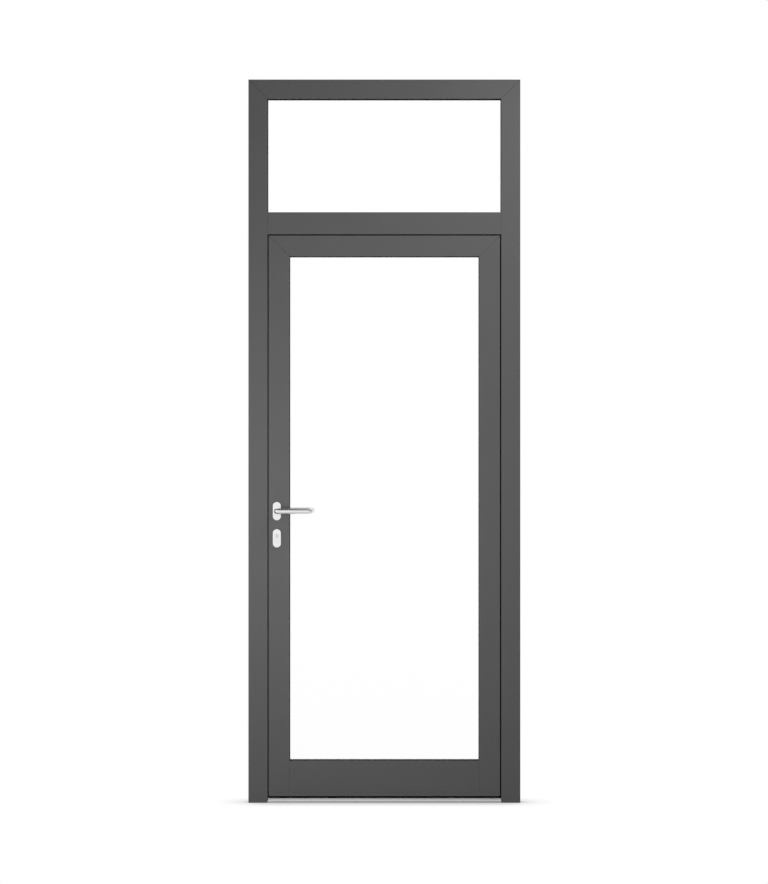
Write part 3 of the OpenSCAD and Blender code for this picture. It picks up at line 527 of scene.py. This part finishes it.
def drive_screws():
    """Screws of the hinge wings, the forend, the keeper and the levers, one mesh for each set on a body."""
    tree = raised_screws()

    def put(name, body, points, size, facing):
        """Set of screws of one size that face one way."""
        mesh = grow(tree, points, {
            "Head Radius": size[0], "Head Height": size[1], "Facing": facing, "Seed": len(name)})
        add_piece(name, mesh, body)

    pins_low, pins_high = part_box("hinge_pins")
    axis_x = (pins_low[0] + pins_high[0]) / 2
    for body, side in (("frame", 1), ("leaf", -1)):
        points = []
        for level in ("low", "mid", "high"):
            low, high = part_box(f"hinge_{level}_{body}_wing")
            outer_x = high[0] if side > 0 else low[0]
            middle_x = (outer_x + axis_x + side * HINGE_WING_START) / 2
            middle_z = (low[2] + high[2]) / 2
            points += [
                (middle_x, low[1] + HINGE_WING_THICKNESS, middle_z + step * HINGE_SCREW_PITCH)
                for step in (-1, 0, 1)]
        put(f"hinge_screws_{body}", body, points, HINGE_SCREW, (0.0, 1.0, 0.0))

    low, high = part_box("lock_forend")
    middle_y = (low[1] + high[1]) / 2
    plug_low, plug_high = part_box("back_key_plug")
    put("forend_screws", "leaf", [
        (low[0], middle_y, low[2] + FOREND_SCREW_INSET),
        (low[0], middle_y, high[2] - FOREND_SCREW_INSET),
        (low[0], middle_y, (plug_low[2] + plug_high[2]) / 2)], FOREND_SCREW, (-1.0, 0.0, 0.0))

    low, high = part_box("keeper")
    put("keeper_screws", "frame", [
        (high[0], middle_y, low[2] + KEEPER_SCREW_INSET),
        (high[0], middle_y, high[2] - KEEPER_SCREW_INSET)], FOREND_SCREW, (1.0, 0.0, 0.0))

    lever_low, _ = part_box("front_lever")
    spindle_low, spindle_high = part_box("spindle")
    put("lever_screws", "handle", [
        ((spindle_low[0] + spindle_high[0]) / 2, y, lever_low[2] + LEVER_SCREW_SINK)
        for y in (
            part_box("front_rose")[0][1] - LEVER_SCREW_INSET,
            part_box("back_rose")[1][1] + LEVER_SCREW_INSET)], LEVER_SCREW, (0.0, 0.0, -1.0))


def bristle_strip():
    """Tree: a thin bristle hanging from each point, set off and leaning a little at random."""
    tree, given = node_group("bristle_strip", {
        "Bristle Length": "Float", "Bristle Radius": "Float", "Jitter": "Float", "Lean": "Float",
        "Seed": "Int"})
    bristle = add_node(tree, "GeometryNodeMeshCone", inputs={
        "Vertices": BRISTLE_SIDES, "Radius Top": given["Bristle Radius"],
        "Radius Bottom": given["Bristle Radius"], "Depth": given["Bristle Length"]})
    drop = add_node(tree, "ShaderNodeMath", {"operation": "MULTIPLY"}, {0: given["Bristle Length"], 1: -1.0})
    hang = add_node(tree, "ShaderNodeCombineXYZ", inputs={"Z": drop.outputs["Value"]})
    hung = add_node(tree, "GeometryNodeTransform", inputs={
        "Geometry": bristle.outputs["Mesh"], "Translation": hang.outputs["Vector"]})
    least = add_node(tree, "ShaderNodeVectorMath", {"operation": "SCALE"}, {
        0: (-1.0, -1.0, 0.0), "Scale": given["Jitter"]})
    most = add_node(tree, "ShaderNodeVectorMath", {"operation": "SCALE"}, {
        0: (1.0, 1.0, 0.0), "Scale": given["Jitter"]})
    stray = add_node(tree, "FunctionNodeRandomValue", {"data_type": "FLOAT_VECTOR"}, {
        "Min": least.outputs["Vector"], "Max": most.outputs["Vector"], "Seed": given["Seed"]})
    strayed = add_node(tree, "GeometryNodeSetPosition", inputs={
        "Geometry": given["Geometry"], "Offset": stray.outputs["Value"]})
    back = add_node(tree, "ShaderNodeVectorMath", {"operation": "SCALE"}, {
        0: (-1.0, -1.0, 0.0), "Scale": given["Lean"]})
    forth = add_node(tree, "ShaderNodeVectorMath", {"operation": "SCALE"}, {
        0: (1.0, 1.0, 0.0), "Scale": given["Lean"]})
    lean_seed = add_node(tree, "ShaderNodeMath", {"operation": "ADD"}, {0: given["Seed"], 1: 1.0})
    lean = add_node(tree, "FunctionNodeRandomValue", {"data_type": "FLOAT_VECTOR"}, {
        "Min": back.outputs["Vector"], "Max": forth.outputs["Vector"], "Seed": lean_seed.outputs["Value"]})
    strip = add_node(tree, "GeometryNodeInstanceOnPoints", inputs={
        "Points": strayed.outputs["Geometry"], "Instance": hung.outputs["Geometry"],
        "Rotation": lean.outputs["Value"]})
    close_tree(tree, strip.outputs["Instances"], PILE)
    return tree


def plain_block(name, low, high, edge, material):
    """Mesh of a block between two corners, with its edges broken."""
    work = bmesh.new()
    bmesh.ops.create_cube(work, size=1.0)
    bmesh.ops.scale(work, verts=work.verts, vec=[b - a for a, b in zip(low, high)])
    bmesh.ops.translate(work, verts=work.verts, vec=[(a + b) / 2 for a, b in zip(low, high)])
    bmesh.ops.bevel(
        work, geom=work.edges, offset=edge, offset_type="OFFSET", segments=EDGE_STEPS, affect="EDGES")
    mesh = bpy.data.meshes.new(name)
    work.to_mesh(mesh)
    work.free()
    mesh.materials.append(material)
    return mesh


def hang_brush():
    """Bristles in their backing under the leaf, in the place of the plain brush."""
    low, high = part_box("bottom_brush")
    sole_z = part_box("shoe")[0][2]
    length = high[0] - low[0] - 2 * BRISTLE_PITCH
    count = int(length / BRISTLE_PITCH)
    row_pitch = BRUSH_PILE_WIDTH / BRISTLE_ROWS
    # Every other row is set off by half a pitch
    points = [
        (low[0] + BRISTLE_PITCH * (1 + i + (row % 2) / 2), (row + 0.5) * row_pitch - BRUSH_PILE_WIDTH / 2,
         sole_z)
        for i in range(count) for row in range(BRISTLE_ROWS)]
    mesh = grow(bristle_strip(), points, {
        "Bristle Length": sole_z - low[2], "Bristle Radius": BRISTLE_RADIUS, "Jitter": BRISTLE_JITTER,
        "Lean": BRISTLE_LEAN, "Seed": BRUSH_SEED})
    pile = add_piece("brush_pile", mesh, "leaf")

    backing = plain_block("brush_backing", (low[0], low[1], sole_z), high, BACKING_EDGE, POLYAMIDE)
    add_piece("brush_backing", backing, "leaf")
    film = plain_block(
        "brush_film", (low[0], -BRUSH_FILM / 2, low[2] + BRISTLE_JITTER), (high[0], BRUSH_FILM / 2, sole_z),
        FILM_EDGE, PILE)
    add_piece("brush_film", film, "leaf")
    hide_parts("bottom_brush")


def mitre_cuts(name):
    """Outer end, inner end and way out of each mitre cut, on the front and the back of a rail."""
    spots = [vertex.co for vertex in frame["nodes"][name].data.vertices]
    low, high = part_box(name)
    cuts = []
    for depth, way_out in ((low.y, -1.0), (high.y, 1.0)):
        face = [spot for spot in spots if abs(spot.y - depth) < MERGE]
        foot = min(spot.z for spot in face)
        sill = [spot for spot in face if spot.z < foot + MERGE]
        for side in (-1.0, 1.0):
            outer = max(face, key=lambda spot: spot.z + side * spot.x)
            inner = max(sill, key=lambda spot: side * spot.x)
            cuts.append((outer, inner, way_out))
    return cuts


def seal_mitres(name, rail, body):
    """Thin dark line of sealant along the mitre cuts of a rail, front and back."""
    work = bmesh.new()
    for outer, inner, way_out in mitre_cuts(rail):
        along = (inner - outer).normalized()
        across = Vector((-along.z, 0.0, along.x))
        corners = [
            end + across * share * SEALANT_WIDTH + Vector((0.0, way_out * rise, 0.0))
            for end in (outer + along * SEALANT_WIDTH, inner - along * SEALANT_WIDTH)
            for share in (-0.5, 0.5)
            for rise in (-SEALANT_SUNK, SEALANT_PROUD)]
        bmesh.ops.convex_hull(work, input=[work.verts.new(corner) for corner in corners])
    bmesh.ops.recalc_face_normals(work, faces=work.faces)
    mesh = bpy.data.meshes.new(name)
    work.to_mesh(mesh)
    work.free()
    mesh.materials.append(RUBBER)
    add_piece(name, mesh, body)


def white_card_floor():
    """White matt card: it keeps the door's soft shadow, and further off it fades into the background."""
    material, tree, output, place = new_material("white_card_floor")
    open_sky = add_node(tree, "ShaderNodeAmbientOcclusion", inputs={"Distance": SHADOW_REACH})
    fade = add_node(tree, "ShaderNodeMapRange", inputs={
        "Value": open_sky.outputs["AO"], "From Min": BESIDE_A_WALL, "To Min": SHADOW_SHARE, "To Max": 1.0})
    path = add_node(tree, "ShaderNodeLightPath")
    # Metal sees the floor far off as white, and the floor close below the handle dimmer as painted shade of
    # the door
    low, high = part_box("front_lever")
    handle = (low + high) / 2
    span = add_node(tree, "ShaderNodeVectorMath", {"operation": "DISTANCE"}, {0: place, 1: handle})
    tilt = add_node(tree, "ShaderNodeMath", {"operation": "DIVIDE"}, {
        0: handle.z, 1: span.outputs["Value"]})
    shade_near_handle = add_node(tree, "ShaderNodeMapRange", inputs={
        "Value": tilt.outputs["Value"], "From Max": NEAR_FLOOR_TILT, "To Min": 1.0, "To Max": NEAR_FLOOR_SHADE})
    mirrored = add_node(tree, "ShaderNodeMath", {"operation": "MULTIPLY"}, {
        0: path.outputs["Is Glossy Ray"], 1: shade_near_handle.outputs["Result"]})
    seen = add_node(tree, "ShaderNodeMath", {"operation": "MAXIMUM"}, {
        0: path.outputs["Is Camera Ray"], 1: path.outputs["Is Transmission Ray"]})
    shown = add_node(tree, "ShaderNodeMath", {"operation": "MAXIMUM"}, {
        0: seen.outputs["Value"], 1: mirrored.outputs["Value"]})
    share = add_node(tree, "ShaderNodeMath", {"operation": "MULTIPLY"}, {
        0: shown.outputs["Value"], 1: fade.outputs["Result"]})
    card = add_node(tree, "ShaderNodeBsdfDiffuse", inputs={"Color": linear("#b4b4b4")})
    white = add_node(tree, "ShaderNodeEmission", inputs={"Strength": 1.0})
    surface = add_node(tree, "ShaderNodeMixShader", inputs={
        0: share.outputs["Value"], 1: card.outputs["BSDF"], 2: white.outputs["Emission"]})
    tree.links.new(surface.outputs["Shader"], output.inputs["Surface"])
    return material


def lay_floor():
    """Floor just under the door."""
    half = FLOOR_SIZE / 2
    corners = [(-half, -half), (half, -half), (half, half), (-half, half)]
    mesh = bpy.data.meshes.new("floor")
    mesh.from_pydata([(x, y, cad_low.z - FLOOR_SINK) for x, y in corners], [], [(0, 1, 2, 3)])
    mesh.materials.append(white_card_floor())
    floor = bpy.data.objects.new("floor", mesh)
    bpy.context.scene.collection.objects.link(floor)


def light_world():
    """Dome of light, dimmer overhead, seen as plain white; metal also sees a dark flag on the right."""
    world = bpy.data.worlds.new("studio")
    world.use_nodes = True
    tree = world.node_tree
    tree.nodes.clear()
    path = add_node(tree, "ShaderNodeLightPath")
    direction = add_node(tree, "ShaderNodeTexCoord").outputs["Generated"]
    axes = add_node(tree, "ShaderNodeSeparateXYZ", inputs={"Vector": direction})
    flag = add_node(tree, "ShaderNodeMapRange", {"interpolation_type": "SMOOTHSTEP"}, {
        "Value": axes.outputs["X"], "From Min": FLAG_EDGE, "From Max": FLAG_FULL, "To Min": 1.0,
        "To Max": FLAG_LEVEL})
    lit, mirrored = [
        add_node(tree, "ShaderNodeMapRange", {"interpolation_type": "SMOOTHSTEP"}, {
            "Value": axes.outputs["Z"], "From Min": edge, "From Max": CEILING_FULL, "To Min": horizon,
            "To Max": horizon * CEILING_LEVEL}).outputs["Result"]
        for edge, horizon in ((DOME_EDGE, DOME_LEVEL), (MIRRORED_EDGE, 1.0))]
    flagged = add_node(tree, "ShaderNodeMath", {"operation": "MULTIPLY"}, {
        0: mirrored, 1: flag.outputs["Result"]})
    reflected = add_node(tree, "ShaderNodeMix", {"data_type": "FLOAT"}, {
        "Factor": path.outputs["Is Glossy Ray"], "A": lit, "B": flagged.outputs["Value"]})
    seen = add_node(tree, "ShaderNodeMath", {"operation": "MAXIMUM"}, {
        0: path.outputs["Is Camera Ray"], 1: path.outputs["Is Transmission Ray"]})
    level = add_node(tree, "ShaderNodeMix", {"data_type": "FLOAT"}, {
        "Factor": seen.outputs["Value"], "A": reflected.outputs["Result"], "B": 1.0})
    sky = add_node(tree, "ShaderNodeBackground", inputs={
        "Color": (1.0, 1.0, 1.0, 1.0), "Strength": level.outputs["Result"]})
    add_node(tree, "ShaderNodeOutputWorld", inputs={"Surface": sky.outputs["Background"]})
    bpy.context.scene.world = world


def hang_softboxes():
    """Two softboxes before the door and a larger one behind it, none of them seen."""
    aim = Vector((0.0, 0.0, cad_high.z / 2))
    for name, place, size, power in SOFTBOXES:
        lamp = bpy.data.lights.new(name, "AREA")
        lamp.shape = "SQUARE"
        lamp.size = size
        lamp.energy = power
        softbox = bpy.data.objects.new(name, lamp)
        softbox.location = place
        softbox.visible_camera = False
        softbox.visible_transmission = False
        softbox.visible_glossy = False
        softbox.rotation_euler = (aim - Vector(place)).to_track_quat("-Z", "Y").to_euler()
        bpy.context.scene.collection.objects.link(softbox)


def place_camera():
    """Camera square to the door, far off, with the door where the photograph has it."""
    metres_per_px = (cad_high.z - cad_low.z) / (DOOR_FOOT_PX - DOOR_TOP_PX)
    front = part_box("jamb_lock_side")[0][1]
    camera = bpy.data.cameras.new("camera")
    camera.sensor_width = SENSOR
    camera.lens = SENSOR * CAMERA_DISTANCE / (PHOTO_HEIGHT * metres_per_px)
    eye = bpy.data.objects.new("camera", camera)
    eye.location = (
        (PHOTO_WIDTH / 2 - DOOR_MIDDLE_PX) * metres_per_px,
        front - CAMERA_DISTANCE,
        (DOOR_FOOT_PX - PHOTO_HEIGHT / 2) * metres_per_px)
    eye.rotation_euler = (math.radians(90), 0.0, 0.0)
    bpy.context.scene.collection.objects.link(eye)
    bpy.context.scene.camera = eye


place_camera()
lay_floor()
light_world()
hang_softboxes()
bpy.context.scene.view_settings.view_transform = "Standard"
finish_cad_nodes()
for extrusion in EXTRUSIONS:
    ease_edges(extrusion, EXTRUSION_EDGE, keep_mitres=True)
for fitting in HARDWARE:
    ease_edges(fitting, HARDWARE_EDGE, keep_mitres=False)
drive_screws()
hang_brush()
seal_mitres("frame_mitre_sealant", "head", "frame")
seal_mitres("leaf_mitre_sealant", "top_rail", "leaf")
